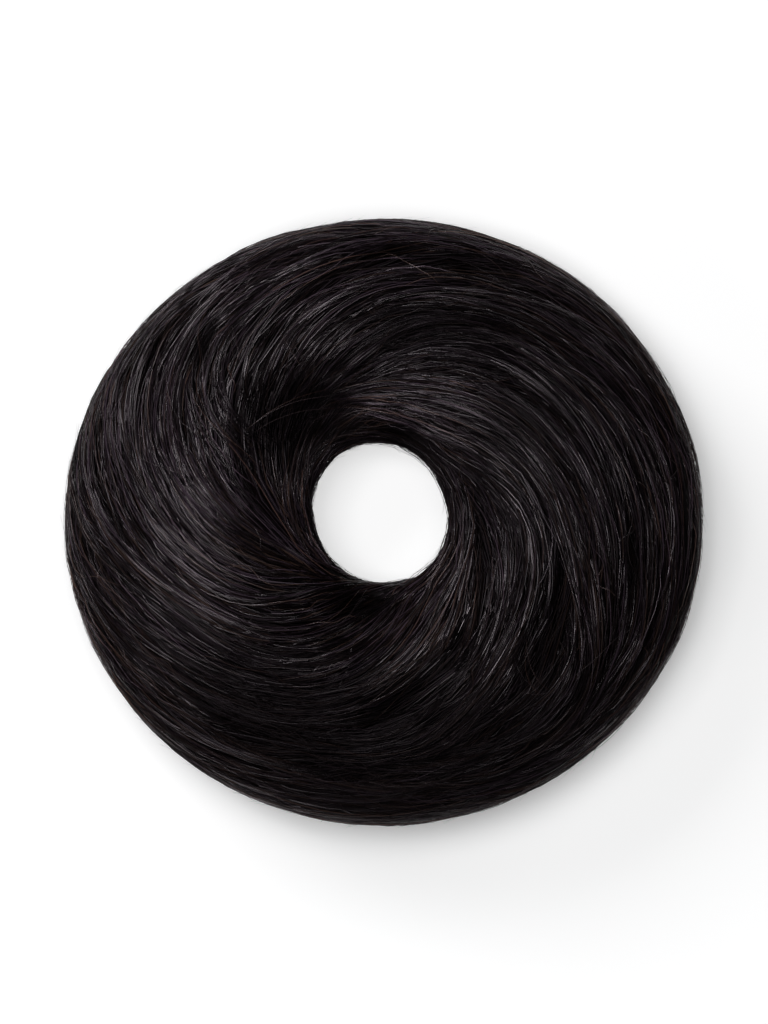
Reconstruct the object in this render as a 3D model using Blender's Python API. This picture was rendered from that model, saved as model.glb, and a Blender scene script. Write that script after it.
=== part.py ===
# Top knot hairpiece: a soft doughnut of near-black hair that lies flat. Its locks start on the hole's
# wall, sweep clockwise over the crest and the rim, and are tucked in underneath, round a padded base ring.
# A plain elastic band sits at the foot of the hole.
# Metres, +Z up. The origin lies on the surface that it rests on, below the middle of its outline.

from collections import namedtuple
from math import cos, exp, hypot, pi, radians, sin

import bmesh
import bpy
from mathutils import Vector

# Outline seen from above. Both outlines are measured from the hole's centre.
HOLE_CENTRE = (-0.00081, 0.00167)
HOLE_RADIUS = 0.0130
HOLE_STRETCH = 0.0005  # the hole is this much longer than round, and as much narrower
HOLE_LONG_WAY = radians(117)
RIM_RADIUS = 0.0585
RIM_STRETCH = 0.0015  # the rim is wider than it is long
RIM_SHIFT = 0.0019  # the rim's middle lies this far from the hole's
RIM_SHIFT_WAY = radians(-65)

# Section of the doughnut
CREST_HEIGHT = 0.0340
WIDEST_HEIGHT = 0.0155  # where the rim and the hole's wall reach furthest
UNDERSIDE_DROP = 0.0175  # below the widest height, before the foot is flattened at the floor
FULLNESS = 0.07  # how much the shoulders stand out past an ellipse

# Sweep of the hair. A lock turns once round the ring while it goes once round the section.
TURN_GAIN = radians(33)  # extra turn between the crest and the rim
FAN = radians(32)  # the hair fans wide on the left and winds tight on the right

# Locks
LOCK_FROM = radians(-128)  # low on the hole's wall
LOCK_TO = radians(140)  # underneath, inside the rim
LOCK_STEPS = 33
LOCK_THICKNESS = 0.0034
TIP_THICKNESS = 0.0010
TIP_LENGTH = radians(20)
LOCK_GAP = 0.00035
TOP_RELIEF = 0.0014  # how far a lock's edges lie below its middle on the crest
RIM_RELIEF = 0.0006
OUTER_POINTS = 5  # across a lock's outer face
INNER_POINTS = 3  # across the face that lies on the base ring

# Base ring and band
BASE_CLEARANCE = 0.00045
FOOT_ROWS = (142, 146, 153, 162, 171, 180, 189, 198, 207, 217, 227, 230)  # degrees round the section
BAND_RADIUS = 0.0154
BAND_HEIGHT = 0.0030
BAND_THICKNESS = 0.0014
BAND_SIDES = 6
BAND_STEPS = 36

# Where a lock crosses the crest, in degrees anticlockwise from the image's right, and its lift in mm
Lock = namedtuple("Lock", "crest_from crest_to lift")
LOCKS = (
    Lock(2, 30, 1.2),
    Lock(30, 56, 0.7),
    Lock(56, 80, 0.2),
    Lock(80, 106, 1.0),
    Lock(106, 128, 0.0),
    Lock(128, 152, 0.7),
    Lock(152, 178, 1.3),
    Lock(178, 206, 1.6),
    Lock(206, 232, 1.1),
    Lock(232, 254, 0.2),
    Lock(254, 280, 1.6),
    Lock(280, 300, 0.3),
    Lock(300, 320, 1.1),
    Lock(320, 338, 0.0),
    Lock(338, 362, 0.6),
)

# Hollows between the sweeps: azimuth and place round the section in degrees, half sizes, depth in mm
Dent = namedtuple("Dent", "azimuth around azimuth_size around_size depth")
DENTS = (
    Dent(128, -34, 17, 26, 5.5),
    Dent(262, -58, 20, 18, 2.2),
    Dent(290, -4, 9, 14, 1.6),
)

# Linear colours, with roughness
HAIR_COLOR = (0.013, 0.012, 0.014)
HAIR_ROUGHNESS = 0.36
BASE_COLOR = (0.020, 0.016, 0.013)
BASE_ROUGHNESS = 0.85
BAND_COLOR = (0.010, 0.010, 0.011)
BAND_ROUGHNESS = 0.75


def mix(a, b, t):
    return a + (b - a) * t


def smooth_step(t):
    t = min(max(t, 0.0), 1.0)
    return t * t * (3 - 2 * t)


def hole_radius(azimuth):
    return HOLE_RADIUS + HOLE_STRETCH * cos(2 * (azimuth - HOLE_LONG_WAY))


def rim_radius(azimuth):
    shift = RIM_SHIFT * cos(azimuth - RIM_SHIFT_WAY)
    return RIM_RADIUS + shift + RIM_STRETCH * cos(2 * azimuth)


def dent_depth(azimuth, around):
    depth = 0.0
    for dent in DENTS:
        turn = (azimuth - radians(dent.azimuth) + pi) % (2 * pi) - pi
        step = (around - radians(dent.around) + pi) % (2 * pi) - pi
        reach = (turn / radians(dent.azimuth_size)) ** 2 + (step / radians(dent.around_size)) ** 2
        depth += dent.depth * 0.001 * exp(-reach)
    return depth


def section_point(azimuth, around):
    """Distance from the hole's centre and height, before the foot is flattened.

    around is the place round the section: -90 degrees on the hole's wall, 0 on the crest and 90 on the rim.
    """
    inner = hole_radius(azimuth)
    outer = rim_radius(azimuth)
    full = 1 + FULLNESS * sin(2 * around) ** 2
    out = (inner + outer) / 2 + (outer - inner) / 2 * sin(around) * full
    rise = cos(around) * full
    reach = CREST_HEIGHT - WIDEST_HEIGHT if rise > 0 else UNDERSIDE_DROP
    return out, WIDEST_HEIGHT + reach * rise


def hair_point(start, around, depth):
    """The point at a depth below the ring's outer surface, on the strand that crosses the crest at start."""
    fan = FAN * sin(around) * cos(start)
    azimuth = start - around - TURN_GAIN * sin(around) - fan
    out, height = section_point(azimuth, around)
    step = 0.01
    next_out, next_height = section_point(azimuth, around + step)
    last_out, last_height = section_point(azimuth, around - step)
    slope_out = next_out - last_out
    slope_height = next_height - last_height
    slope = hypot(slope_out, slope_height)
    depth += dent_depth(azimuth, around)
    out += depth * slope_height / slope
    height -= depth * slope_out / slope
    x = HOLE_CENTRE[0] + out * cos(azimuth)
    y = HOLE_CENTRE[1] + out * sin(azimuth)
    return Vector((x, y, max(height, 0.0)))


def edge_inset(start, around):
    """The change of start that moves a lock's edge aside by half of the gap between two locks."""
    step = 0.005
    across = hair_point(start + step, around, 0) - hair_point(start - step, around, 0)
    along = hair_point(start, around + step, 0) - hair_point(start, around - step, 0)
    width = across.cross(along).length / along.length / (2 * step)
    return LOCK_GAP / 2 / width


def outer_depth(lock, across, around):
    """Depth of a lock's outer face: arched across the lock, and thinned to its tucked tips."""
    topness = max(cos(around), 0.0)
    arch = 1 - abs(2 * across - 1) ** 2.4
    depth = mix(RIM_RELIEF, TOP_RELIEF, topness) * (1 - arch) - lock.lift * 0.001 * topness * arch
    from_tip = min(around - LOCK_FROM, LOCK_TO - around)
    return mix(LOCK_THICKNESS - TIP_THICKNESS, depth, smooth_step(from_tip / TIP_LENGTH))


def lock_ring(lock, around):
    first = radians(lock.crest_from)
    last = radians(lock.crest_to)
    first += edge_inset(first, around)
    last -= edge_inset(last, around)
    points = []
    for i in range(OUTER_POINTS):
        across = i / (OUTER_POINTS - 1)
        points.append(hair_point(mix(first, last, across), around, outer_depth(lock, across, around)))
    for i in range(INNER_POINTS):
        across = 1 - i / (INNER_POINTS - 1)
        points.append(hair_point(mix(first, last, across), around, LOCK_THICKNESS))
    return points


def lock_rows():
    return [mix(LOCK_FROM, LOCK_TO, i / LOCK_STEPS) for i in range(LOCK_STEPS + 1)]


def base_rows():
    """Places round the section with the base ring's depth there: deep under the locks, flush at the foot."""
    under_locks = LOCK_THICKNESS + BASE_CLEARANCE
    rows = [(around, under_locks) for around in lock_rows()]
    for i, degree in enumerate(FOOT_ROWS):
        at_tip = i in (0, len(FOOT_ROWS) - 1)
        rows.append((radians(degree), under_locks if at_tip else 0.0))
    return rows


def base_columns():
    """Strands at the edges and the middle of every lock, so that the base ring follows the locks' faces."""
    columns = []
    for lock in reversed(LOCKS):
        columns.append(radians(lock.crest_to))
        columns.append(radians((lock.crest_from + lock.crest_to) / 2))
    return columns


def split_quad(bm, a, b, c, d):
    """Two triangles for the twisted quad a, b, c, d, split along its shorter diagonal."""
    if (a.co - c.co).length <= (b.co - d.co).length:
        bm.faces.new((a, b, c))
        bm.faces.new((a, c, d))
    else:
        bm.faces.new((a, b, d))
        bm.faces.new((b, c, d))


def skin_rings(bm, rings, closed):
    """Joins rings of points in turn, and caps the two ends if the rings don't close on themselves."""
    verts = [[bm.verts.new(point) for point in ring] for ring in rings]
    pairs = list(zip(verts, verts[1:]))
    if closed:
        pairs.append((verts[-1], verts[0]))
    for ring, following in pairs:
        for i in range(len(ring)):
            j = (i + 1) % len(ring)
            split_quad(bm, ring[i], ring[j], following[j], following[i])
    if not closed:
        bm.faces.new(verts[0])
        bm.faces.new(verts[-1])


def make_material(name, color, roughness):
    material = bpy.data.materials.new(name)
    material.use_nodes = True
    shader = material.node_tree.nodes["Principled BSDF"]
    shader.inputs["Base Color"].default_value = (*color, 1)
    shader.inputs["Roughness"].default_value = roughness
    shader.inputs["Metallic"].default_value = 0
    material.diffuse_color = (*color, 1)
    return material


def make_object(name, rings, closed, material, parent):
    bm = bmesh.new()
    skin_rings(bm, rings, closed)
    bmesh.ops.recalc_face_normals(bm, faces=bm.faces)
    mesh = bpy.data.meshes.new(name)
    bm.to_mesh(mesh)
    bm.free()
    mesh.shade_smooth()
    mesh.set_sharp_from_angle(angle=radians(50))
    mesh.materials.append(material)
    piece = bpy.data.objects.new(name, mesh)
    bpy.context.collection.objects.link(piece)
    piece.parent = parent
    return piece


def make_locks(parent):
    for number, lock in enumerate(LOCKS, start=1):
        name = f"lock_{number:02d}"
        rings = [lock_ring(lock, around) for around in lock_rows()]
        make_object(name, rings, False, make_material(name, HAIR_COLOR, HAIR_ROUGHNESS), parent)


def make_base_ring(parent):
    columns = base_columns()
    rings = [[hair_point(start, around, depth) for start in columns] for around, depth in base_rows()]
    material = make_material("base_ring", BASE_COLOR, BASE_ROUGHNESS)
    make_object("base_ring", rings, True, material, parent)


def make_elastic_band(parent):
    rings = []
    for i in range(BAND_STEPS):
        azimuth = 2 * pi * i / BAND_STEPS
        middle = BAND_RADIUS + hole_radius(azimuth) - HOLE_RADIUS
        ring = []
        for j in range(BAND_SIDES):
            angle = 2 * pi * (j + 0.5) / BAND_SIDES
            out = middle + BAND_THICKNESS * cos(angle)
            x = HOLE_CENTRE[0] + out * cos(azimuth)
            y = HOLE_CENTRE[1] + out * sin(azimuth)
            ring.append(Vector((x, y, BAND_HEIGHT + BAND_THICKNESS * sin(angle))))
        rings.append(ring)
    material = make_material("elastic_band", BAND_COLOR, BAND_ROUGHNESS)
    make_object("elastic_band", rings, True, material, parent)


def main():
    for old in list(bpy.data.objects):
        bpy.data.objects.remove(old, do_unlink=True)
    hairpiece = bpy.data.objects.new("hairpiece", None)
    bpy.context.collection.objects.link(hairpiece)
    make_base_ring(hairpiece)
    make_locks(hairpiece)
    make_elastic_band(hairpiece)


main()
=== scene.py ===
from math import radians

import bpy
import numpy as np
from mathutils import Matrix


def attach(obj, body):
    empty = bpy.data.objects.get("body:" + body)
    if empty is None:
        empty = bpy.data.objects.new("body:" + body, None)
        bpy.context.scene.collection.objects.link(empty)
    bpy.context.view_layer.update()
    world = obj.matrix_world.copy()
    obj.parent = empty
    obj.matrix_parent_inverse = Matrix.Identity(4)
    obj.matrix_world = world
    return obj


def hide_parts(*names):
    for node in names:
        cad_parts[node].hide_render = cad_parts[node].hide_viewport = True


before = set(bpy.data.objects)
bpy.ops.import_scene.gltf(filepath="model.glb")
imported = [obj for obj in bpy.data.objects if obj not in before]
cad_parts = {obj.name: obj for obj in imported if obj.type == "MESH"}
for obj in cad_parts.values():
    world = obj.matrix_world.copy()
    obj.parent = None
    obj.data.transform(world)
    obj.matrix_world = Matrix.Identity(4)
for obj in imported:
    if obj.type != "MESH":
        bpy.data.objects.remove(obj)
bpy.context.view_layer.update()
print("frame loaded:", len(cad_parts), "nodes")

# The ring's own shape, in metres and degrees. Azimuth 0 is +X and grows anticlockwise seen from above.
# "around" is the place round the ring's section: -90 on the hole's wall, 0 on the crest, 90 on the rim.
ring = {
    "holeCentre": (-0.00081, 0.00167),
    "holeRadius": 0.0130,
    "holeStretch": 0.0005,  # how much longer the hole is one way
    "holeLongWay": 117,
    "rimRadius": 0.0585,
    "rimStretch": 0.0015,  # how much wider the rim is along X
    "rimShift": 0.0019,  # how far the rim lies off the hole's middle, and which way
    "rimShiftWay": -65,
    "crestHeight": 0.0340,
    "widestHeight": 0.0155,
    "undersideDrop": 0.0175,  # from the widest height down to the round section's foot
    "fullness": 0.07,  # how much fuller than an ellipse the section is
    "rimInset": 0.0004,  # how far the hair at the rim lies inside the outline
    "holeInset": -0.0002,
    "turnGain": 33,  # how far the hair turns between the crest and either side, in degrees
    "fan": 32,  # how much more it turns on the right, and less on the left
}

# Each lock: where it crosses the crest, and how far its middle stands up there in mm
locks = [
    # from, to, lift
    (2, 30, 1.2),
    (30, 56, 0.7),
    (56, 80, 0.2),
    (80, 106, 1.0),
    (106, 128, 0.0),
    (128, 152, 0.7),
    (152, 178, 1.3),
    (178, 206, 1.6),
    (206, 232, 1.1),
    (232, 254, 0.2),
    (254, 280, 1.6),
    (280, 300, 0.3),
    (300, 320, 1.1),
    (320, 338, 0.0),
    (338, 362, 0.6),
]

# Hollows between the sweeps of hair
dents = [
    # azimuth, around, half size in azimuth, half size around, depth in mm
    (127, -38, 19, 13, 7.0),
    (150, -46, 9, 11, 3.5),
    (262, -58, 20, 18, 2.2),
    (290, -4, 9, 14, 1.6),
]


def wrapped(angle):
    return (angle + np.pi) % (2 * np.pi) - np.pi


def smoothStep(t):
    t = np.clip(t, 0, 1)
    return t * t * (3 - 2 * t)


def dentDepth(azimuth, around):
    depth = 0
    for place, height, wide, tall, deep in dents:
        turn = wrapped(azimuth - radians(place)) / radians(wide)
        step = wrapped(around - radians(height)) / radians(tall)
        depth = depth + deep * 0.001 * np.exp(-turn ** 2 - step ** 2)
    return depth


def sectionPoint(azimuth, around):
    longWay = radians(ring["holeLongWay"])
    inner = ring["holeRadius"] + ring["holeStretch"] * np.cos(2 * (azimuth - longWay))
    shift = ring["rimShift"] * np.cos(azimuth - radians(ring["rimShiftWay"]))
    outer = ring["rimRadius"] + shift + ring["rimStretch"] * np.cos(2 * azimuth)
    full = 1 + ring["fullness"] * np.sin(2 * around) ** 2
    out = (inner + outer) / 2 + (outer - inner) / 2 * np.sin(around) * full
    rise = np.cos(around) * full
    above = ring["crestHeight"] - ring["widestHeight"]
    reach = np.where(rise > 0, above, ring["undersideDrop"])
    return out, ring["widestHeight"] + reach * rise


def toPlane(azimuth, out):
    return ring["holeCentre"][0] + out * np.cos(azimuth), ring["holeCentre"][1] + out * np.sin(azimuth)


# A point below the ring's surface and sunk straight down from it, and the surface's normal there
def ringPoint(azimuth, around, depth, sunk=0.0, lowest=0.0004):
    out, height = sectionPoint(azimuth, around)
    nextOut, nextHeight = sectionPoint(azimuth, around + 0.01)
    lastOut, lastHeight = sectionPoint(azimuth, around - 0.01)
    slope = np.hypot(nextOut - lastOut, nextHeight - lastHeight)
    normalOut = -(nextHeight - lastHeight) / slope
    normalUp = (nextOut - lastOut) / slope
    inset = np.where(np.sin(around) > 0, ring["rimInset"], ring["holeInset"])
    depth = depth + inset * smoothStep((np.abs(np.sin(around)) - 0.7) / 0.3)
    out = out - depth * normalOut
    height = height - depth * normalUp - dentDepth(azimuth, around) - sunk
    height = np.maximum(height, lowest)
    x, y = toPlane(azimuth, out)
    normal = np.stack((normalOut * np.cos(azimuth), normalOut * np.sin(azimuth), normalUp), -1)
    return np.stack((x, y, height), -1), normal


# The azimuth of the hair that crosses the crest at start. One turn of the section takes it once round.
def sweptAzimuth(start, around):
    fan = radians(ring["fan"]) * np.sin(around) * np.cos(start)
    return start - around - radians(ring["turnGain"]) * np.sin(around) - fan


# Depth of the locks' outer faces in metres, arched across each lock
def lockDepth(start, around, relief):
    start = (np.degrees(start) - locks[0][0]) % 360 + locks[0][0]
    topness = np.maximum(np.cos(around), 0)
    depth = np.zeros(np.broadcast(start, around).shape)
    for first, last, lift in locks:
        across = (start - first) / (last - first)
        inside = (across >= 0) & (across < 1)
        arch = 1 - np.abs(2 * across - 1) ** 2.4
        dip = (relief["rim"] + (relief["crest"] - relief["rim"]) * topness) * (1 - arch)
        depth = np.where(inside, dip - lift * relief["lift"] * topness * arch, depth)
    return depth * 0.001


# Strands drawn over the photo, from the hole outwards. They sway the hair round them.
drawn = {
    "pixel": 0.0001875,  # metres in one pixel of the picture
    "middle": (384, 522),  # the pixel above the ring's origin
    "reach": 0.0034,  # metres over which a line sways the hair beside it
    "hold": 0.4,  # how firmly the plain swirl keeps its own way
    "pointsOnLine": 60,
    "lines": [
        # the sweep on the left
        [(322, 574), (290, 570), (258, 562), (225, 546), (196, 520), (172, 482), (158, 436), (160, 390),
         (172, 352), (196, 315), (232, 285), (280, 258)],
        [(305, 556), (268, 540), (232, 512), (203, 474), (184, 436), (180, 400), (190, 362), (210, 332),
         (245, 303), (290, 282)],
        [(290, 522), (268, 488), (238, 452), (210, 422), (198, 390), (204, 358), (222, 328), (258, 298)],
        [(268, 440), (244, 418), (228, 392), (232, 362), (248, 332), (272, 308)],
        [(322, 580), (294, 593), (262, 600), (222, 588), (180, 560), (145, 522), (120, 470), (112, 420),
         (122, 362), (150, 318), (190, 282), (240, 254)],
        [(230, 622), (165, 588), (113, 538), (86, 485), (82, 435), (96, 388), (122, 345), (160, 302)],
        # the inner sweep below the hole
        [(436, 572), (425, 605), (404, 640), (378, 668), (345, 688), (300, 695), (250, 685), (205, 662),
         (155, 628), (112, 588)],
        [(447, 542), (452, 578), (441, 612), (419, 648), (392, 675), (362, 697), (325, 708), (270, 702),
         (215, 686), (160, 656), (115, 616), (85, 566)],
        [(425, 577), (410, 600), (386, 632), (355, 658), (315, 672), (265, 668), (215, 646), (170, 614),
         (130, 576)],
        [(392, 598), (365, 622), (340, 640), (308, 650), (268, 650), (225, 634), (185, 606), (150, 572)],
        # the inner sweep right of the hole
        [(462, 500), (480, 525), (486, 560), (483, 600), (472, 640), (455, 678), (428, 708), (385, 726),
         (330, 730), (270, 720)],
        [(475, 478), (500, 505), (508, 555), (502, 600), (490, 640), (470, 680), (440, 714), (400, 738),
         (350, 746)],
        [(485, 462), (518, 490), (535, 535), (530, 580), (512, 622), (492, 662), (466, 698), (436, 730)],
        [(520, 462), (545, 505), (558, 550), (570, 592), (579, 625), (583, 665), (578, 705), (555, 735),
         (515, 757)],
        # the bright patch above the hole
        [(345, 404), (382, 400), (420, 406), (460, 424), (500, 445), (532, 468), (550, 495), (562, 525),
         (575, 565)],
        [(352, 416), (392, 424), (430, 442), (470, 455), (505, 478), (528, 508)],
        [(342, 398), (362, 388), (388, 381), (440, 380), (484, 391), (524, 420), (554, 456), (577, 502),
         (592, 560), (597, 620)],
        # the sweep over the top
        [(342, 386), (364, 366), (388, 346), (414, 332), (448, 325), (494, 334), (542, 358), (584, 396),
         (614, 442), (632, 495), (638, 550), (630, 615)],
        [(305, 380), (318, 355), (338, 328), (366, 308), (402, 298), (440, 296), (492, 308), (552, 338),
         (604, 384), (642, 440), (662, 505), (666, 570), (652, 640)],
        [(270, 372), (274, 340), (290, 313), (324, 290), (375, 276), (440, 271), (510, 285), (578, 322),
         (634, 378), (672, 442), (686, 510), (684, 590), (660, 660)],
        [(222, 330), (250, 300), (292, 274), (350, 255), (420, 248), (500, 259), (575, 292), (635, 345),
         (680, 415)],
        [(150, 320), (200, 280), (262, 250), (330, 235), (400, 230), (480, 242), (560, 274), (622, 325),
         (667, 390), (691, 460)],
        # the outer hair on the right and below
        [(690, 470), (697, 530), (690, 600), (665, 668), (622, 720), (565, 762), (495, 792), (415, 806)],
        [(640, 640), (602, 700), (552, 745), (480, 776), (400, 787), (320, 781), (250, 761), (190, 731),
         (135, 688)],
        [(583, 660), (560, 702), (510, 740), (440, 760), (370, 758), (300, 741), (230, 712), (170, 672),
         (120, 630)],
        [(560, 775), (480, 800), (400, 810), (320, 806), (240, 785), (170, 745), (115, 690), (85, 630)],
        # along the hole's lip
        [(318, 562), (301, 532), (294, 500), (297, 465), (308, 436), (320, 424)],
        [(330, 432), (362, 430), (400, 436), (430, 455), (447, 482)],
        [(452, 490), (458, 520), (450, 556), (425, 580)],
    ],
}

# Partings in the hair, sunk into it and darkened by painted shade
partings = [
    # x and y in pixels, turn of the long side in degrees, half length, half width and depth in mm
    (424, 677, 40, 8.5, 3.2, 3.8),
    (459, 633, 66, 4.5, 1.0, 2.0),
    (480, 598, 86, 5.0, 0.6, 1.4),
    (557, 608, 80, 8.5, 1.7, 2.6),
    (534, 650, 76, 5.5, 3.0, 2.4),
    (368, 603, -4, 8.0, 2.2, 2.6),
    (208, 350, 68, 5.0, 1.3, 1.4),
    (272, 344, 68, 3.0, 1.4, 1.4),
    (455, 262, -6, 13.0, 2.0, 1.4),
    (385, 254, 8, 8.0, 1.6, 1.2),
    (330, 760, -14, 12.0, 2.0, 1.0),
    (295, 406, 12, 9.8, 6.0, 0.8),
    (283, 447, 100, 6.5, 4.2, 0.8),
    (335, 424, 28, 6.5, 4.2, 0.8),
    (303, 450, 50, 6.0, 3.6, 0.8),
    (262, 738, -20, 9.0, 2.0, 1.2),
    (628, 560, 90, 9.0, 1.2, 1.0),
]


def fromPicture(points):
    points = np.array(points, float)
    x = (points[:, 0] - drawn["middle"][0]) * drawn["pixel"]
    return np.stack((x, (drawn["middle"][1] - points[:, 1]) * drawn["pixel"]), -1)


# How much of a parting each place on the ring lies in, from 0 to 1, and how deep it is there in metres
def partingDepth(azimuth, around):
    out, _ = sectionPoint(azimuth, around)
    x, y = toPlane(azimuth, out)
    share = np.zeros(out.shape)
    depth = np.zeros(out.shape)
    top = np.minimum(np.maximum(2.5 * np.cos(around), 0), 1)
    for px, py, turn, long, wide, deep in partings:
        middle = fromPicture([(px, py)])[0]
        along = (x - middle[0]) * np.cos(radians(turn)) + (y - middle[1]) * np.sin(radians(turn))
        across = (y - middle[1]) * np.cos(radians(turn)) - (x - middle[0]) * np.sin(radians(turn))
        inside = np.exp(-((along / long * 1000) ** 2 + (across / wide * 1000) ** 2) ** 2) * top
        share = np.maximum(share, inside)
        depth = depth + inside * deep * 0.001
    return share, depth


# Painted sheen and shade: places made glossier and lighter, or duller and darker
paintedSheenAndShade = {
    "partingShade": 0.98,  # how much painted shade the partings put on gloss and colour
    "least": 0.12,
    "side": 0.28,  # painted light on the side that faces this way, and painted shade on the other
    "sideWay": 175,
    "rim": 1.3,  # painted highlight low on the outside, where the light comes in flat
    "rimFrom": 56,
    "places": [
        # x and y in pixels, size in mm, gain: a painted highlight where above 0, painted shade where
        # below 0
        (205, 525, 11, 2.3),
        (245, 545, 9, 2.1),
        (418, 446, 5, -1.3),
        (400, 428, 4.5, -1.2),
        (497, 610, 6, -0.4),
        (482, 572, 4, 0.8),
        (500, 420, 7, -0.5),
        (279, 338, 5, -0.8),
        (262, 410, 6, -1.2),
        (262, 428, 6, -0.8),
        (235, 470, 8, -0.3),
        (200, 330, 9, -0.35),
        (285, 525, 7, 1.6),
        (330, 625, 8, 0.7),
        (150, 450, 11, 1.2),
        (430, 402, 6.5, 2.6),
        (390, 400, 5, 1.2),
        (442, 608, 7, 2.2),
        (405, 618, 7, 1.2),
        (230, 285, 10, 0.5),
        (310, 245, 12, 1.1),
        (400, 235, 10, 1.6),
        (500, 262, 11, 0.7),
        (640, 470, 14, 0.6),
        (300, 545, 5, 2.6),
        (392, 337, 10, -0.9),
        (470, 340, 9, -0.4),
        (480, 300, 14, -0.4),
        (215, 690, 13, -0.8),
        (300, 735, 16, -0.6),
        (400, 765, 18, -0.7),
        (510, 730, 15, -0.55),
        (330, 680, 10, -0.4),
        (600, 690, 12, -0.3),
        (470, 480, 6, -0.4),
        (590, 470, 14, -0.25),
    ],
}


# Painted sheen and shade at each place, for gloss and colour: lighter on one side, on the light spots and
# low on the outside; darker on the other side, on the dark spots and in the partings
def paintedSheenAndShadeAt(azimuth, around):
    out, _ = sectionPoint(azimuth, around)
    x, y = toPlane(azimuth, out)
    paintedLightAndShade = 1 + paintedSheenAndShade["side"] * np.cos(azimuth - radians(paintedSheenAndShade["sideWay"])) + 0 * out
    for px, py, size, gain in paintedSheenAndShade["places"]:
        middle = fromPicture([(px, py)])[0]
        apart = (x - middle[0]) ** 2 + (y - middle[1]) ** 2
        paintedLightAndShade = paintedLightAndShade + gain * np.exp(-apart / (size * 0.001) ** 2)
    # painted shade in the partings
    kept = 1 - paintedSheenAndShade["partingShade"] * partingDepth(azimuth, around)[0]
    low = smoothStep((around - radians(paintedSheenAndShade["rimFrom"])) / radians(30))
    return np.maximum(paintedLightAndShade, paintedSheenAndShade["least"]) * kept * (1 + paintedSheenAndShade["rim"] * low)


# The place round the section, on top of the ring, that lies so far out from the hole's middle
def aroundAt(azimuth, out):
    low = np.full(out.shape, -np.pi / 2)
    high = np.full(out.shape, np.pi / 2)
    for _ in range(26):
        middle = (low + high) / 2
        short = sectionPoint(azimuth, middle)[0] < out
        low = np.where(short, middle, low)
        high = np.where(short, high, middle)
    return (low + high) / 2


# Distance from the hole's middle, and metres moved along the section for each radian
def sectionScale(azimuth, around):
    out, _ = sectionPoint(azimuth, around)
    nextOut, nextHeight = sectionPoint(azimuth, around + 0.01)
    lastOut, lastHeight = sectionPoint(azimuth, around - 0.01)
    return out, np.hypot(nextOut - lastOut, nextHeight - lastHeight) / 0.02


def startAt(azimuth, around):
    start = azimuth + around
    for _ in range(14):
        gain = radians(ring["turnGain"]) + radians(ring["fan"]) * np.cos(start)
        start = azimuth + around + gain * np.sin(around)
    return start


# The hair's lean in radians: 0 runs clockwise round the hole, a right angle runs straight outwards
def sweptLean(azimuth, around):
    start = startAt(azimuth, around)
    gain = radians(ring["turnGain"]) + radians(ring["fan"]) * np.cos(start)
    out, pace = sectionScale(azimuth, around)
    return np.arctan2(pace, out * (1 + gain * np.cos(around)))


# Points at even steps along a smooth line through rough ones
def smoothLine(points, count):
    lengths = np.concatenate(([0], np.cumsum(np.hypot(*np.diff(points, axis=0).T))))
    places = np.linspace(0, lengths[-1], count)
    line = np.stack([np.interp(places, lengths, points[:, k]) for k in (0, 1)], -1)
    for _ in range(count // 4):
        line[1:-1] = line[1:-1] * 0.5 + (line[:-2] + line[2:]) * 0.25
    return line


def polarFromPlane(points):
    x = points[..., 0] - ring["holeCentre"][0]
    y = points[..., 1] - ring["holeCentre"][1]
    azimuth = np.arctan2(y, x)
    return azimuth, aroundAt(azimuth, np.hypot(x, y))


# Where the drawn strands lie, and how far they turn away from the plain swirl there
def drawnTurns():
    places, turns = [], []
    for line in drawn["lines"]:
        points = smoothLine(fromPicture(line), drawn["pointsOnLine"])
        azimuth, around = polarFromPlane(points)
        out, pace = sectionScale(azimuth, around)
        lean = np.arctan2(pace * np.gradient(around), -out * np.gradient(np.unwrap(azimuth)))
        places.append(points)
        turns.append(wrapped(lean - sweptLean(azimuth, around)))
    return np.concatenate(places), np.concatenate(turns)


drawnPlaces, drawnLeans = drawnTurns()


def hairLean(azimuth, around):
    out, _ = sectionPoint(azimuth, around)
    x, y = toPlane(azimuth, out)
    apart = (x[..., None] - drawnPlaces[:, 0]) ** 2 + (y[..., None] - drawnPlaces[:, 1]) ** 2
    weights = np.exp(-apart / drawn["reach"] ** 2)
    sway = weights @ drawnLeans / (weights.sum(-1) + drawn["hold"])
    top = smoothStep((radians(105) - np.abs(around)) / radians(30))
    return sweptLean(azimuth, around) + sway * top


# A node's output that does sums with plain operators
class Signal:
    def __init__(self, finish, socket):
        self.finish = finish
        self.socket = socket

    def maths(self, operation, first, second):
        return self.finish.node("ShaderNodeMath", {"operation": operation}, {0: first, 1: second})

    def __add__(self, other):
        return self.maths("ADD", self, other)

    def __radd__(self, other):
        return self.maths("ADD", other, self)

    def __sub__(self, other):
        return self.maths("SUBTRACT", self, other)

    def __rsub__(self, other):
        return self.maths("SUBTRACT", other, self)

    def __mul__(self, other):
        return self.maths("MULTIPLY", self, other)

    def __rmul__(self, other):
        return self.maths("MULTIPLY", other, self)


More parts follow.
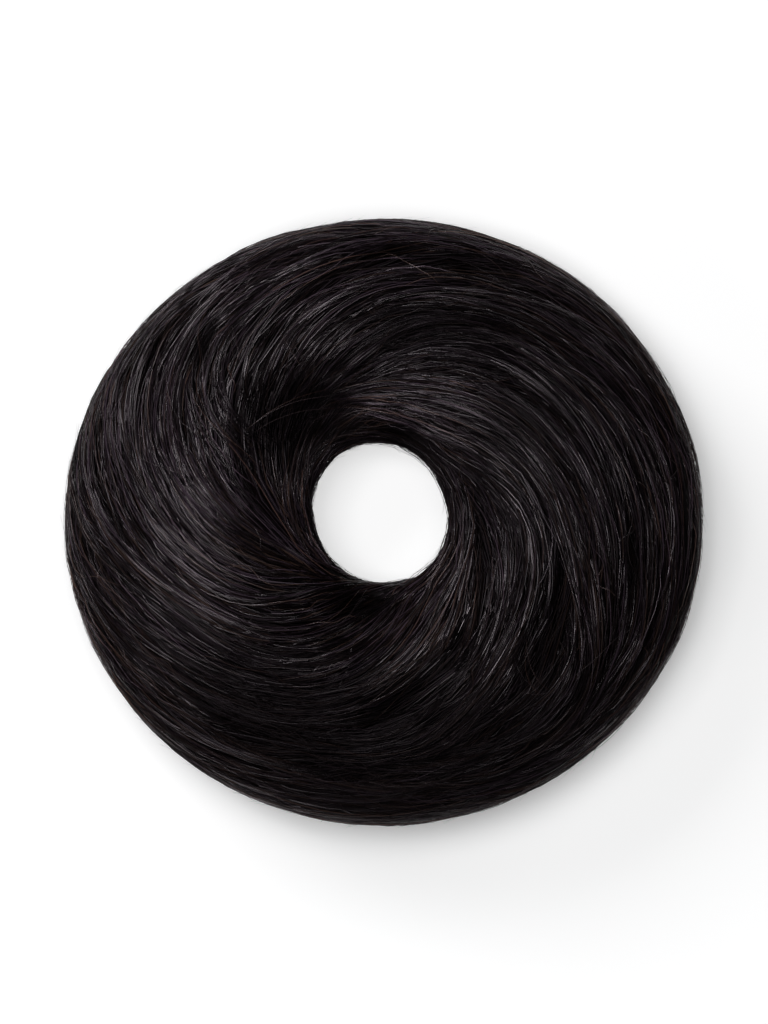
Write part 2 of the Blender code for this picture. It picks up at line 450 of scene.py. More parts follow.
# A material with one Principled shader
class Finish:
    def __init__(self, name, constants):
        self.material = bpy.data.materials.new(name)
        self.material.use_nodes = True
        self.tree = self.material.node_tree
        self.shader = self.tree.nodes["Principled BSDF"]
        self.feed(self.shader, constants)

    def feed(self, node, inputs):
        for key, value in inputs.items():
            if isinstance(value, Signal):
                self.tree.links.new(value.socket, node.inputs[key])
            else:
                node.inputs[key].default_value = value

    def node(self, kind, settings, inputs, output=0):
        node = self.tree.nodes.new(kind)
        for key, value in settings.items():
            if key == "stops":
                ramp = node.color_ramp
                for place, color in value[1:-1]:
                    ramp.elements.new(place).color = color
                ramp.elements[0].position, ramp.elements[0].color = value[0]
                ramp.elements[-1].position, ramp.elements[-1].color = value[-1]
            else:
                setattr(node, key, value)
        self.feed(node, inputs)
        return Signal(self, node.outputs[output])

    def noise(self, scale, detail=2.0):
        place = self.node("ShaderNodeTexCoord", {}, {}, "Object")
        inputs = {"Vector": place, "Scale": scale, "Detail": detail}
        return self.node("ShaderNodeTexNoise", {}, inputs, "Fac")

    def mixColors(self, amount, first, second, blend="MIX"):
        settings = {"data_type": "RGBA", "blend_type": blend}
        return self.node("ShaderNodeMix", settings, {0: amount, 6: first, 7: second}, 2)

    def shade(self, inputs):
        self.feed(self.shader, inputs)
        return self.material


hairFinish = {
    "roughness": 0.36,
    "roughnessSpread": 0.2,
    "specular": 0.09,
    "coatRoughness": 0.2,
    "coatIor": 1.8,
    "toneScale": 70,
    "tint": (1.0, 0.9, 0.95, 1),
    "warmTint": (0.012, 0.0078, 0.0068, 1),
    "warmShare": 0.14,
}


def makeHairFinish(name, values):
    finish = Finish(name, {
        "Metallic": 0.0,
        "Specular IOR Level": values["specular"],
        "Specular Tint": values["tint"],
        "Coat Roughness": values["coatRoughness"],
        "Coat IOR": values["coatIor"],
    })
    # The tone attribute carries colour and gloss scaled by the painted sheen and shade
    tone = finish.node("ShaderNodeAttribute", {"attribute_name": "tone"}, {}, "Color")
    gloss = finish.node("ShaderNodeAttribute", {"attribute_name": "tone"}, {}, "Alpha")
    patches = finish.noise(values["toneScale"])
    color = finish.mixColors(patches * values["warmShare"], tone, values["warmTint"])
    roughness = values["roughness"] + values["roughnessSpread"] * (patches - 0.5)
    return finish.shade({"Base Color": color, "Roughness": roughness, "Coat Weight": gloss})


def newObject(name, mesh, material):
    mesh.materials.append(material)
    piece = bpy.data.objects.new(name, mesh)
    bpy.context.scene.collection.objects.link(piece)
    return piece


# A mesh from arrays of corners and of equally sided faces, with a colour for each corner
def meshFromArrays(name, corners, faceGroups, tones=None):
    mesh = bpy.data.meshes.new(name)
    mesh.vertices.add(len(corners))
    mesh.vertices.foreach_set("co", corners.astype(np.float32).ravel())
    loops = np.concatenate([faces.ravel() for faces in faceGroups])
    sizes = np.concatenate([np.full(len(faces), faces.shape[1]) for faces in faceGroups])
    mesh.loops.add(len(loops))
    mesh.loops.foreach_set("vertex_index", loops.astype(np.int32))
    mesh.polygons.add(len(sizes))
    starts = np.concatenate(([0], np.cumsum(sizes)[:-1]))
    mesh.polygons.foreach_set("loop_start", starts.astype(np.int32))
    mesh.update(calc_edges=True)
    mesh.shade_smooth()
    if tones is not None:
        layer = mesh.color_attributes.new("tone", "FLOAT_COLOR", "POINT")
        layer.data.foreach_set("color", tones.astype(np.float32).ravel())
    return mesh


def unit(vectors):
    return vectors / np.maximum(np.linalg.norm(vectors, axis=-1, keepdims=True), 1e-12)


# Closed three-sided tubes along rows of points, with one edge of each tube facing away from the ring
def strandParts(points, normals, halfWidths, tones):
    count, steps = points.shape[:2]
    tangents = unit(np.gradient(points, axis=1))
    sides = unit(np.cross(tangents, normals))
    ups = np.cross(sides, tangents)
    wide = halfWidths[..., None]
    corners = np.stack((points + ups * wide * 0.8, points - sides * wide - ups * wide * 0.4,
                        points + sides * wide - ups * wide * 0.4), axis=2)
    index = np.arange(count * steps * 3).reshape(count, steps, 3)
    here, following = index[:, :-1], index[:, 1:]
    walls = np.stack((here, following, np.roll(following, -1, 2), np.roll(here, -1, 2)), -1)
    caps = np.concatenate((index[:, 0], index[:, -1, ::-1]))
    colors = np.repeat(np.broadcast_to(tones, (count, steps, 4)).reshape(-1, 4), 3, axis=0)
    return corners.reshape(-1, 3), walls.reshape(-1, 4), caps, colors


def joinedMesh(name, parts):
    corners = np.concatenate([part[0] for part in parts])
    shifts = np.cumsum([0] + [len(part[0]) for part in parts[:-1]])
    walls = np.concatenate([part[1] + shift for part, shift in zip(parts, shifts)])
    caps = np.concatenate([part[2] + shift for part, shift in zip(parts, shifts)])
    return meshFromArrays(name, corners, [walls, caps], np.concatenate([part[3] for part in parts]))


# Smooth random curves, one for each strand, about -1 to 1
def wander(rng, count, steps, knots):
    place = np.linspace(0, knots - 1, steps)[:, None]
    weights = np.exp(-((place - np.arange(knots)) / 0.6) ** 2)
    weights /= weights.sum(1, keepdims=True)
    return rng.normal(size=(count, knots)) @ weights.T * 1.2


# A colour and a gloss along each strand: mostly dark, a few lighter or glossier, some browner, all scaled
# by the painted sheen and shade
def hairTones(rng, paintedLightAndShade, values, brownAndRimGlow=0.0):
    count = len(paintedLightAndShade)
    depth = rng.random((count, 1)) ** values["lightRarity"]
    dark, light, brown = (np.array(values[key]) for key in ("dark", "light", "brown"))
    warm = rng.random((count, 1)) < values["brownShare"] + brownAndRimGlow
    color = np.where(warm, dark + (brown - dark) * depth, dark + (light - dark) * depth)[:, None, :]
    streaks = np.maximum(1 + values["streaks"] * wander(rng, count, paintedLightAndShade.shape[1], 7), 0.1)
    gloss = values["gloss"] * rng.random((count, 1)) ** values["glossRarity"] * paintedLightAndShade * streaks
    # The colour is scaled too by the painted sheen and shade, keeping the unlit share
    lit = values["unlit"] + (1 - values["unlit"]) * np.minimum(paintedLightAndShade, 1.5)
    return np.concatenate((color * lit[..., None], np.minimum(gloss, 1)[..., None]), -1)


# Browner strands along the rim, a painted glow of light shining through the thin rim hair, and browner
# strands on the ring's lower half
def brownAndRimGlowAt(azimuth, around):
    rim = smoothStep((around - radians(35)) / radians(40))
    low = np.maximum(-np.sin(azimuth), 0)
    return (0.35 * rim + 0.25 * low).mean(1, keepdims=True)


hairTone = {
    "dark": (0.0010, 0.0004, 0.0006),
    "light": (0.049, 0.0375, 0.049),
    "brown": (0.060, 0.039, 0.029),
    "brownShare": 0.22,
    "lightRarity": 4.5,
    "gloss": 2.25,
    "glossRarity": 4.6,
    "streaks": 0.4,
    "unlit": 0.08,
}

# How much of the locks' arches and steps shows in the hair, in shares of the solids'
hairRelief = {"crest": 0.7, "rim": 0.2, "lift": 0.6}

longHair = {
    "strands": 1150,
    "steps": 22,
    "wispWidth": 5.0,  # degrees across a wisp on the crest
    "wispWander": 1.4,
    "strandWander": 0.6,
    "halfWidths": (0.00011, 0.00020),  # metres
    "depth": 0.0008,
    "layers": 0.0012,
    "depthWander": 0.0003,
    "from": -122,
    "to": 142,
    "tipLength": 14,
    "tuck": 0.0012,  # how far the tips dip
    "shade": 0.5,  # painted shade: how much darker they are where the wisps cover them
}

# Shorter strands that thicken the outside below the rim
lowHair = {
    **longHair,
    "strands": 1000,
    "steps": 11,
    "wispWidth": 3.0,
    "halfWidths": (0.00008, 0.00015),
    "depth": 0.0004,
    "layers": 0.0008,
    "from": 72,
    "to": 165,
    "shade": 0.0,
}


def longStrands(rng, first, last, values):
    width = last - first
    count = int(values["strands"] * width / 360)
    wisps = max(2, round(width / values["wispWidth"]))
    steps = values["steps"]
    wisp = rng.integers(0, wisps, count)
    centres = first + width * (np.arange(wisps) + 0.5 + rng.uniform(-0.3, 0.3, wisps)) / wisps
    wispPath = wander(rng, wisps, steps, 7) * values["wispWander"]
    wispHalf = width / wisps * 0.7
    fromAround = values["from"] + rng.uniform(-4, 6, count)
    toAround = values["to"] + rng.uniform(-12, 0, count)
    along = np.linspace(0, 1, steps)[None, :]
    degreesAround = fromAround[:, None] + (toAround - fromAround)[:, None] * along
    around = np.radians(degreesAround)
    offset = rng.uniform(-1, 1, count)[:, None]
    own = wander(rng, count, steps, 6) * values["strandWander"]
    start = np.radians(centres[wisp][:, None] + wispPath[wisp] + offset * wispHalf + own)
    azimuth = sweptAzimuth(start, around)
    depth = values["depth"] + rng.uniform(0, values["layers"], count)[:, None]
    depth = depth + wander(rng, count, steps, 9) * values["depthWander"]
    depth = depth + lockDepth(start, around, hairRelief)
    tips = values["tipLength"]
    begun = smoothStep((degreesAround - fromAround[:, None]) / tips)
    tuck = 1 - begun * smoothStep((toAround[:, None] - degreesAround) / tips)
    depth = depth + values["tuck"] * tuck
    points, normals = ringPoint(azimuth, around, depth, partingDepth(azimuth, around)[1])
    widths = rng.uniform(*values["halfWidths"], count)[:, None] * (1 - 0.75 * tuck)
    # Painted sheen and shade, with more painted shade where the wisps cover these strands
    covered = smoothStep((radians(100) - np.abs(around)) / radians(20))
    paintedLightAndShade = paintedSheenAndShadeAt(azimuth, around) * (1 - values["shade"] * covered)
    return points, normals, widths, paintedLightAndShade, brownAndRimGlowAt(azimuth, around)


# Paths that follow the hair both ways from their seeds, crossing it by a slant
def tracedPaths(azimuth, around, slants, lengths, steps):
    back = (steps - 1) // 2
    paths = np.zeros((2, len(azimuth), steps))
    paths[:, :, back] = azimuth, around
    for direction, count in ((-1, back), (1, steps - 1 - back)):
        here = np.array((azimuth, around))
        for k in range(1, count + 1):
            lean = hairLean(here[0], here[1]) + slants
            out, pace = sectionScale(here[0], here[1])
            stride = direction * lengths / (steps - 1)
            here = here + np.array((-np.cos(lean) * stride / out, np.sin(lean) * stride / pace))
            paths[:, :, back + direction * k] = here
    return paths[0], paths[1]


largestPatch = 0.062 * 0.026  # about the largest product of a place's distance out and its pace


# Places spread evenly over the ring's skin, fewer in the partings
def scatter(rng, count, least, most, thinning):
    azimuths, arounds = [], []
    while len(azimuths) < count:
        azimuth = rng.uniform(0, 2 * np.pi, 4 * count)
        around = np.radians(rng.uniform(least, most, 4 * count))
        out, pace = sectionScale(azimuth, around)
        chance = out * pace / largestPatch * (1 - thinning * partingDepth(azimuth, around)[0])
        keep = rng.random(4 * count) < chance
        azimuths.extend(azimuth[keep])
        arounds.extend(around[keep])
    return np.array(azimuths[:count]), np.array(arounds[:count])


wispHair = {
    "wisps": 880,
    "strands": 10,
    "pathSteps": 21,
    "steps": 12,
    "seeds": (-88, 100),  # degrees round the section
    "lengths": (0.024, 0.060),
    "halfWidths": (0.0004, 0.0018),
    "ragged": 0.4,  # the share of the path that a strand may miss at either end
    "slant": 2.8,  # degrees off the hair's lean
    "thinning": 1.0,  # how much rarer they are in the partings
    "layers": (-0.0006, 0.0014),
    "crown": 0.0003,  # how far a wisp's edges lie below its middle
    "tilt": 0.22,
    "tuck": 0.0011,
    "tipShare": 0.2,
    "cross": 0.0009,  # how far a strand drifts across its wisp
    "sway": 0.00010,
    "depthWander": 0.00014,
    "strandHalfWidths": (0.00005, 0.00013),
    "gapThinning": 0.85,  # how much thinner the strands are in the partings
    "shade": 0.65,  # painted shade: how much darker the lowest wisps are
    "wispTones": (0.7, 1.25),
}


# Strands over the locks, bundled in wisps whose ends dip under their neighbours
def wispStrands(rng, values):
    count = values["wisps"]
    azimuth, around = scatter(rng, count, *values["seeds"], values["thinning"])
    slants = np.radians(rng.normal(0, values["slant"], count))
    lengths = rng.uniform(*values["lengths"], count)
    pathAzimuth, pathAround = tracedPaths(azimuth, around, slants, lengths, values["pathSteps"])
    halfWidths = rng.uniform(*values["halfWidths"], count)
    layer = rng.uniform(*values["layers"], count)
    tilt = rng.normal(0, values["tilt"], count)

    strands = values["strands"]
    steps = values["steps"]
    total = count * strands
    wisp = np.repeat(np.arange(count), strands)
    begin = rng.random(total) ** 1.5 * values["ragged"]
    end = 1 - rng.random(total) ** 1.5 * values["ragged"]
    place = begin[:, None] + (end - begin)[:, None] * np.linspace(0, 1, steps)
    row = place * (values["pathSteps"] - 1)
    low = np.clip(row.astype(int), 0, values["pathSteps"] - 2)
    part = row - low

    def read(curves):
        return curves[wisp[:, None], low] * (1 - part) + curves[wisp[:, None], low + 1] * part

    azimuth, around = read(pathAzimuth), read(pathAround)
    full = 0.35 + 0.65 * np.sin(np.pi * place) ** 0.8
    offset = rng.normal(0, 0.5, total)[:, None]
    aside = offset * halfWidths[wisp][:, None] * full
    aside = aside + rng.normal(0, values["cross"], total)[:, None] * (place - 0.5)
    aside = aside + wander(rng, total, steps, 5) * values["sway"]
    lean = hairLean(pathAzimuth, pathAround) + slants[:, None]
    lean = read(lean)
    out, pace = sectionScale(azimuth, around)
    azimuth = azimuth + np.sin(lean) * aside / out
    around = around + np.cos(lean) * aside / pace

    tips = values["tipShare"]
    along = np.linspace(0, 1, steps)[None, :]
    tuck = 1 - smoothStep(along / tips) * smoothStep((1 - along) / tips)
    depth = layer[wisp][:, None] + values["crown"] * offset ** 2 + tilt[wisp][:, None] * aside
    depth = depth + wander(rng, total, steps, 6) * values["depthWander"] + values["tuck"] * tuck
    highest, lowest = values["layers"]
    # Painted shade: the lower a strand lies in the wisps, the darker its colour and the less its gloss
    shade = 1 - values["shade"] * smoothStep((depth - highest) / (lowest + 0.0003 - highest))
    calm = smoothStep((np.abs(np.sin(around)) - 0.75) / 0.25)
    depth = depth + (0.0002 - depth) * 0.6 * calm * (1 - tuck)
    # Painted sheen and shade, times a random tone for each wisp
    paintedLightAndShade = paintedSheenAndShadeAt(azimuth, around) * shade * rng.uniform(*values["wispTones"], count)[wisp][:, None]
    depth = depth + lockDepth(startAt(azimuth, around), around, hairRelief)
    parted, sunk = partingDepth(azimuth, around)
    points, normals = ringPoint(azimuth, around, depth, sunk)
    widths = rng.uniform(*values["strandHalfWidths"], total)[:, None] * (1 - 0.7 * tuck)
    widths = widths * (1 - values["gapThinning"] * parted)
    middle = steps // 2
    starts = np.degrees(startAt(azimuth[:, middle], around[:, middle]))
    return points, normals, widths, paintedLightAndShade, starts, brownAndRimGlowAt(azimuth, around)


def makeLocks(material):
    rng = np.random.default_rng(7)
    topPoints, topNormals, topWidths, topPaintedLightAndShade, topStarts, topBrownAndRimGlow = wispStrands(rng, wispHair)
    first = locks[0][0]
    topStarts = (topStarts - first) % 360 + first
    pieces = []
    for number, (first, last, lift) in enumerate(locks, start=1):
        name = f"lock_{number:02d}_hair"
        parts = []
        for values in (longHair, lowHair):
            points, normals, widths, paintedLightAndShade, brownAndRimGlow = longStrands(rng, first, last, values)
            parts.append(strandParts(points, normals, widths, hairTones(rng, paintedLightAndShade, hairTone, brownAndRimGlow)))
        mine = (topStarts >= first) & (topStarts < last)
        tones = hairTones(rng, topPaintedLightAndShade[mine], hairTone, topBrownAndRimGlow[mine])
        parts.append(strandParts(topPoints[mine], topNormals[mine], topWidths[mine], tones))
        piece = newObject(name, joinedMesh(name, parts), material)
        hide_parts(f"lock_{number:02d}")
        pieces.append(piece)
    return pieces


looseHair = {
    "wisps": 190,
    "strands": 1,
    "pathSteps": 19,
    "steps": 13,
    "seeds": (-86, 95),
    "lengths": (0.010, 0.040),
    "halfWidths": (0.0002, 0.0004),
    "ragged": 0.4,
    "slant": 17.0,
    "thinning": 0.0,
    "layers": (-0.0011, -0.0003),
    "crown": 0.0,
    "tilt": 0.0,
    "tuck": 0.0013,
    "tipShare": 0.16,
    "cross": 0.0016,
    "sway": 0.0009,
    "depthWander": 0.0003,
    "strandHalfWidths": (0.00003, 0.00006),
    "gapThinning": 0.0,
    "shade": 0.0,
    "wispTones": (0.6, 1.1),
}

# Single hairs that lie on the rest and catch the light, glossier than the rest; their lighter colour is a
# painted glint
shiningHair = {
    **looseHair,
    "wisps": 620,
    "lengths": (0.018, 0.062),
    "slant": 4.5,
    "thinning": 0.9,
    "layers": (-0.0007, -0.0002),
    "tuck": 0.0012,
    "sway": 0.0003,
    "cross": 0.0006,
    "strandHalfWidths": (0.00004, 0.00008),
    "wispTones": (0.3, 1.2),
}

# Lighter colours than the other hair: a painted glint on the shining hairs, which are also glossier
shiningPaintedGlintTone = {
    "dark": (0.015, 0.010, 0.013),
    "light": (0.085, 0.062, 0.080),
    "brown": (0.092, 0.055, 0.041),
    "brownShare": 0.2,
    "lightRarity": 1.5,
    "gloss": 1.5,
    "glossRarity": 1.5,
    "streaks": 0.8,
    "unlit": 0.1,
}

looseTone = {
    "dark": (0.009, 0.0065, 0.007),
    "light": (0.052, 0.042, 0.042),
    "brown": (0.070, 0.043, 0.031),
    "brownShare": 0.4,
    "lightRarity": 1.4,
    "gloss": 1.0,
    "glossRarity": 1.2,
    "streaks": 0.3,
    "unlit": 0.5,
}


def makeLooseHair(material):
    rng = np.random.default_rng(11)
    points, normals, widths, paintedLightAndShade, _, brownAndRimGlow = wispStrands(rng, looseHair)
    loose = strandParts(points, normals, widths, hairTones(rng, paintedLightAndShade, looseTone, brownAndRimGlow))
    points, normals, widths, paintedLightAndShade, _, brownAndRimGlow = wispStrands(rng, shiningHair)
    shining = strandParts(points, normals, widths, hairTones(rng, paintedLightAndShade, shiningPaintedGlintTone, brownAndRimGlow))
    return newObject("loose_hairs", joinedMesh("loose_hairs", [loose, shining]), material)


# Single strands that the photo shows crossing the rest, drawn by pixel
strays = {
    "lines": [
        [(521, 640), (522, 662), (532, 682), (548, 691), (566, 690)],
        [(372, 590), (352, 612), (325, 630)],
        [(397, 600), (380, 620), (352, 655), (338, 678), (336, 692)],
        [(325, 577), (298, 590), (262, 605)],
        [(475, 258), (500, 272), (510, 285)],
        [(595, 350), (610, 368), (622, 388)],
        [(258, 430), (275, 415), (300, 402), (332, 395)],
        [(197, 405), (207, 388), (222, 372)],
        [(230, 322), (237, 340), (240, 360)],
        [(290, 335), (303, 362), (312, 375)],
        [(550, 520), (565, 570), (578, 620), (584, 680)],
        [(440, 640), (420, 660), (400, 672), (380, 690), (360, 705)],
        [(446, 646), (424, 668), (396, 688), (366, 700)],
        [(318, 560), (300, 530), (293, 500), (296, 465), (308, 435), (318, 422)],
        [(312, 572), (294, 536), (288, 500), (292, 470), (303, 446)],
        [(322, 548), (308, 520), (303, 494), (306, 462), (316, 436)],
        [(305, 560), (286, 520), (284, 486), (294, 452)],
        [(330, 430), (352, 416), (380, 412), (402, 420)],
    ],
    "steps": 20,
    "copies": 3,
    "spread": 0.0007,
    "lift": (0.0002, 0.0008),
    "halfWidths": (0.00003, 0.000055),
    "bridge": 0.75,  # the share of a hollow's depth that they pass over
}


def makeStrays(values, material):
    rng = np.random.default_rng(17)
    lines = np.array([smoothLine(fromPicture(line), values["steps"]) for line in values["lines"]])
    lines = np.repeat(lines, values["copies"], axis=0)
    count = len(lines)
    lines = lines + rng.normal(0, values["spread"], (count, 1, 2))
    slew = np.linspace(-1, 1, values["steps"])[:, None]
    lines = lines + rng.normal(0, values["spread"], (count, 1, 2)) * slew
    azimuth, around = polarFromPlane(lines)
    ends = np.sin(np.linspace(0, np.pi, values["steps"])) ** 0.5
    lift = rng.uniform(*values["lift"], count)[:, None] * ends
    sunk = -values["bridge"] * dentDepth(azimuth, around) * ends
    points, normals = ringPoint(azimuth, around, 0.0004 - lift, sunk)
    widths = rng.uniform(*values["halfWidths"], count)[:, None] * (0.3 + 0.7 * ends)
    tones = hairTones(rng, np.ones(azimuth.shape), looseTone)
    mesh = joinedMesh("stray_hairs", [strandParts(points, normals, widths, tones)])
    return newObject("stray_hairs", mesh, material)


# Short ends that stand off the rim and the hole's lip
fuzz = {
    # name: how many, from and to round the section, how far the tips stand off in metres
    "rows": [("rim", 420, 62, 112, 0.0012), ("lip", 110, -104, -62, 0.0009)],
    "steps": 7,
    "lengths": (0.003, 0.010),
    "slant": 16.0,
    "halfWidths": (0.00003, 0.00006),
}


def makeFuzz(values, material):
    rng = np.random.default_rng(13)
    parts = []
    for _, count, least, most, off in values["rows"]:
        azimuth, around = scatter(rng, count, least, most, 0)
        slants = np.radians(rng.normal(0, values["slant"], count))
        lengths = rng.uniform(*values["lengths"], count)
        azimuth, around = tracedPaths(azimuth, around, slants, lengths, values["steps"])
        along = np.linspace(0, 1, values["steps"])[None, :]
        lift = rng.uniform(0.15, 1, count)[:, None] ** 1.5 * off * along ** 1.6
        points, normals = ringPoint(azimuth, around, 0.0006 - lift - 0.0006 * along)
        widths = rng.uniform(*values["halfWidths"], count)[:, None] * (1.1 - 0.8 * along)
        parts.append(strandParts(points, normals, widths, hairTones(rng, 1 + 0 * azimuth, looseTone)))
    return newObject("hair_fuzz", joinedMesh("hair_fuzz", parts), material)


# A closed surface from a grid of points whose rows and columns both meet their other ends
def closedGrid(name, points, tones=None):
    rows, columns = points.shape[:2]
    index = np.arange(rows * columns).reshape(rows, columns)
    right, down = np.roll(index, -1, 1), np.roll(index, -1, 0)
    across = np.roll(right, -1, 0)
    faces = np.stack((index, right, across, down), -1).reshape(-1, 4)
    return meshFromArrays(name, points.reshape(-1, 3), [faces], tones)


hairBed = {
    "rows": 96,
    "columns": 150,
    "depth": 0.0030,
    "rimDepth": 0.0007,
    "holeDepth": 0.0006,
    "color": (0.0022, 0.0018, 0.0019, 1),
    "roughness": 0.85,
    "specular": 0.15,
    "noiseScale": 900,
}


def makeHairBed(values):
    constants = {"Base Color": values["color"], "Specular IOR Level": values["specular"]}
    finish = Finish("under_hair", constants)
    grain = finish.noise(values["noiseScale"])
    finish.shade({"Roughness": values["roughness"] + 0.2 * (grain - 0.5)})
    around = np.linspace(-np.pi, np.pi, values["rows"], endpoint=False)[:, None]
    start = np.linspace(0, 2 * np.pi, values["columns"], endpoint=False)[None, :]
    azimuth = sweptAzimuth(start, around)
    side = smoothStep((np.abs(np.sin(around)) - 0.6) / 0.35)
    sideDepth = np.where(np.sin(around) > 0, values["rimDepth"], values["holeDepth"])
    depth = values["depth"] + (sideDepth - values["depth"]) * side
    depth = depth + lockDepth(start, around, hairRelief)
    points, _ = ringPoint(azimuth, around, depth, partingDepth(azimuth, around)[1], 0.0010)
    return newObject("hair_bed", closedGrid("hair_bed", points), finish.material)


basePad = {
    "rows": 60,
    "columns": 216,
    "depth": 0.0042,
    "sunk": 0.001,  # how far the top is let down under the hair's hollows
    "foot": 0.0028,  # how far the underside is let down to rest on the table
    "ribs": 36,
    "ribDepth": 0.00018,
    "color": (0.020, 0.0155, 0.0125, 1),
    "light": (0.060, 0.047, 0.036, 1),
    "roughness": 0.85,
    "weaveScale": 1400,
    "weaveHeight": 0.0003,
    "fill": 0.8,
}


# The pad inside, wound round with thread
def makeBasePad(values):
    finish = Finish("wound_padding", {"Specular IOR Level": 0.3, "Roughness": values["roughness"]})
    fibres = finish.noise(values["weaveScale"], 4.0)
    color = finish.mixColors(fibres, values["color"], values["light"])
    raised = {"Strength": 0.5, "Distance": values["weaveHeight"], "Height": fibres}
    bump = finish.node("ShaderNodeBump", {}, raised, "Normal")
    finish.shade({"Base Color": color, "Normal": bump})
    around = np.linspace(-np.pi, np.pi, values["rows"], endpoint=False)[:, None]
    azimuth = np.linspace(0, 2 * np.pi, values["columns"], endpoint=False)[None, :]
    ribs = np.sin(values["ribs"] * azimuth + 6 * around) * values["ribDepth"]
    under = smoothStep((np.abs(around) - radians(135)) / radians(30))
    sunk = values["sunk"] * smoothStep(2 * np.cos(around)) + values["foot"] * under
    azimuth, around = np.broadcast_arrays(azimuth, around)
    points, _ = ringPoint(azimuth, around, values["depth"] + ribs, sunk, 0.0002)
    piece = newObject("base_pad", closedGrid("base_pad", points), finish.material)
    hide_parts("base_ring")
    return piece


elasticCord = {
    "radius": 0.0154,
    "height": 0.0030,
    "thickness": 0.0013,
    "steps": 240,
    "sides": 16,
    "threadScale": 2500.0,
    "plaits": 46,
    "plaitDepth": 0.00016,
    "color": (0.010, 0.010, 0.011, 1),
    "light": (0.022, 0.022, 0.024, 1),
    "roughness": 0.7,
}


def makeElastic(values):
    finish = Finish("braided_elastic", {"Specular IOR Level": 0.3, "Roughness": values["roughness"]})
    threads = finish.noise(values["threadScale"])
    finish.shade({"Base Color": finish.mixColors(threads, values["color"], values["light"])})
    azimuth = np.linspace(0, 2 * np.pi, values["steps"], endpoint=False)[:, None]
    angle = np.linspace(0, 2 * np.pi, values["sides"], endpoint=False)[None, :]
    longWay = radians(ring["holeLongWay"])
    middle = values["radius"] + ring["holeStretch"] * np.cos(2 * (azimuth - longWay))
    turn = values["plaits"] * azimuth
    plait = np.maximum(np.sin(turn + 2 * angle), np.sin(turn - 2 * angle)) - 1
    thick = values["thickness"] + values["plaitDepth"] * plait
    x, y = toPlane(azimuth, middle + thick * np.cos(angle))
    points = np.stack((x, y, values["height"] + thick * np.sin(angle)), -1)
    piece = newObject("braided_elastic", closedGrid("braided_elastic", points[:, ::-1]), finish.material)
    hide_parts("elastic_band")
    return piece


floorFinish = {
    "half": 3.0,  # metres from the middle to a side
    "color": (0.80, 0.89, 0.84, 1),
    "roughness": 0.95,
    "glow": 0.41,
    "paintedShadowGlow": 0.20,  # painted shadow: the weaker glow close to the ring
    "paintedShadowShift": (0.0015, -0.0035),
    "paintedHoleLight": 0.60,  # painted light: the stronger glow below the ring's hole
    "paintedHoleLightReach": 0.022,
    "paintedShadowReach": (0.0550, 0.0645),  # metres from the painted shadow's shifted middle between which the glow grows out of it
}


# A matt white table that glows evenly a little from below, with painted shadow where the glow is weaker
# close to the ring and painted light where it is stronger under its hole
def makeFloor(values):
    finish = Finish("pale_floor", {"Specular IOR Level": 0.0, "Emission Strength": 1.0})
    place = finish.node("ShaderNodeTexCoord", {}, {}, "Object")
    middle = (*ring["holeCentre"], 0)
    paintedShadowMiddle = (middle[0] + values["paintedShadowShift"][0], middle[1] + values["paintedShadowShift"][1], 0)
    distance = {"operation": "DISTANCE"}
    apart = finish.node("ShaderNodeVectorMath", distance, {0: place, 1: middle}, "Value")
    paintedShadowDistance = finish.node("ShaderNodeVectorMath", distance, {0: place, 1: paintedShadowMiddle}, "Value")
    inside = finish.node("ShaderNodeMath", {"operation": "LESS_THAN"}, {0: apart, 1: values["paintedHoleLightReach"]})
    near, far = values["paintedShadowReach"]
    ends = {0: paintedShadowDistance, 1: near, 2: far, 3: 0.0, 4: 1.0}
    outOfPaintedShadow = finish.node("ShaderNodeMapRange", {"interpolation_type": "SMOOTHSTEP"}, ends)
    levels = [(values[key],) * 3 + (1,) for key in ("paintedShadowGlow", "glow", "paintedHoleLight")]
    glow = finish.mixColors(inside, finish.mixColors(outOfPaintedShadow, *levels[:2]), levels[2])
    surface = {"Base Color": values["color"], "Roughness": values["roughness"]}
    finish.shade({**surface, "Emission Color": glow})
    corners = values["half"] * np.array([(-1, -1, 0), (1, -1, 0), (1, 1, 0), (-1, 1, 0)], float)
    mesh = meshFromArrays("floor", corners, [np.array([[0, 1, 2, 3]])])
    newObject("floor", mesh, finish.material)


camera = {
    "middle": (0.0, 0.001875),  # the point of the widest height that the frame's middle looks at
    "distance": 1.0,
    "frameWidth": 0.144,
    "sensor": 36.0,
}


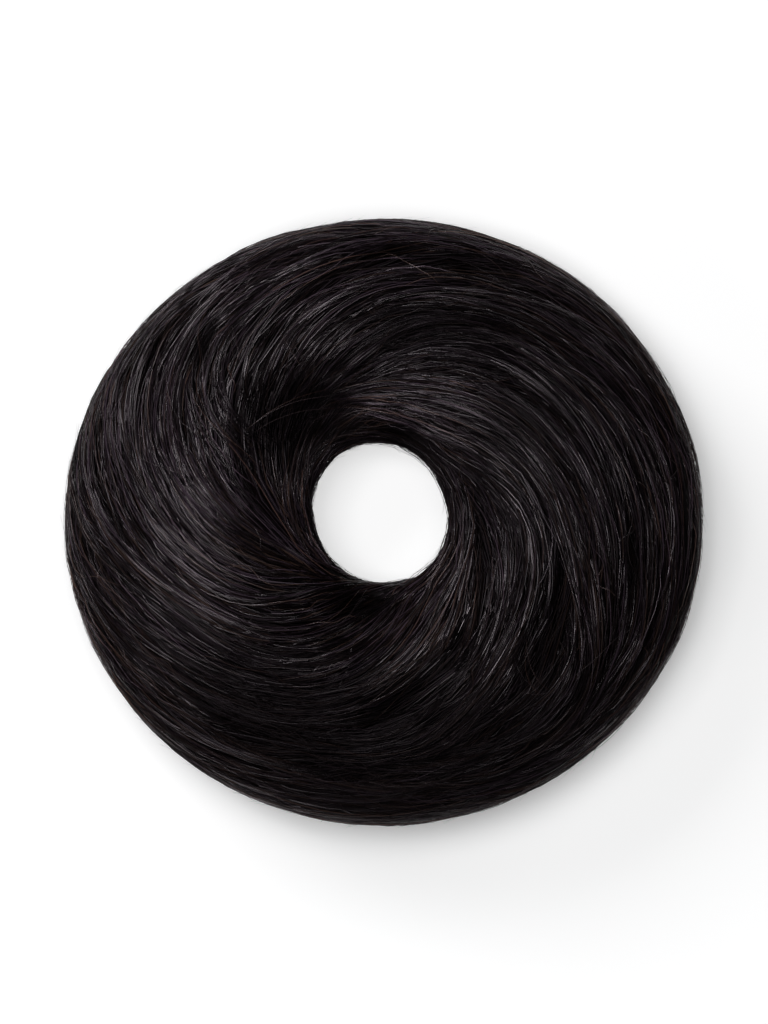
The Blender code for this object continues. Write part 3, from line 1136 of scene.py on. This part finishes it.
def makeCamera(values):
    data = bpy.data.cameras.new("camera")
    data.sensor_fit = "HORIZONTAL"
    data.sensor_width = values["sensor"]
    data.lens = values["sensor"] * values["distance"] / values["frameWidth"]
    data.clip_end = 20
    holder = bpy.data.objects.new("camera", data)
    holder.location = (*values["middle"], ring["widestHeight"] + values["distance"])
    bpy.context.scene.collection.objects.link(holder)
    bpy.context.scene.camera = holder


lamps = [
    # name, turn and height in degrees, distance, size, watts
    ("over", 90, 88, 1.5, 0.5, 3.9),
    ("top", 160, 76, 1.4, 0.45, 5.2),
    ("key", 135, 38, 1.2, 0.6, 5.9),
    ("right", 45, 36, 1.2, 0.6, 1.3),
    ("left", 225, 36, 1.2, 0.6, 2.6),
]
lampColor = (1.0, 0.895, 0.955)
world = {"color": (1, 1, 1, 1), "strength": 0.035}


def makeLights():
    for name, turn, height, distance, size, watts in lamps:
        data = bpy.data.lights.new(name, "AREA")
        data.shape = "SQUARE"
        data.size = size
        data.energy = watts
        data.color = lampColor
        lamp = bpy.data.objects.new(name, data)
        level = distance * np.cos(radians(height))
        rise = distance * np.sin(radians(height))
        lamp.location = (level * np.cos(radians(turn)), level * np.sin(radians(turn)), rise)
        lamp.rotation_euler = (-lamp.location).to_track_quat("-Z", "Y").to_euler()
        bpy.context.scene.collection.objects.link(lamp)
    studio = bpy.data.worlds.new("studio")
    studio.use_nodes = True
    background = studio.node_tree.nodes["Background"]
    background.inputs["Color"].default_value = world["color"]
    background.inputs["Strength"].default_value = world["strength"]
    bpy.context.scene.world = studio
    bpy.context.scene.view_settings.view_transform = "Standard"


hair = makeHairFinish("hair_fibre", hairFinish)
hairPieces = makeLocks(hair)
print("locks made:", len(hairPieces))
hairPieces += [makeHairBed(hairBed), makeLooseHair(hair)]
hairPieces += [makeStrays(strays, hair), makeFuzz(fuzz, hair)]
print("loose hair made")
for piece in hairPieces + [makeBasePad(basePad), makeElastic(elasticCord)]:
    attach(piece, "root")
makeFloor(floorFinish)
makeCamera(camera)
makeLights()
print("stage made")
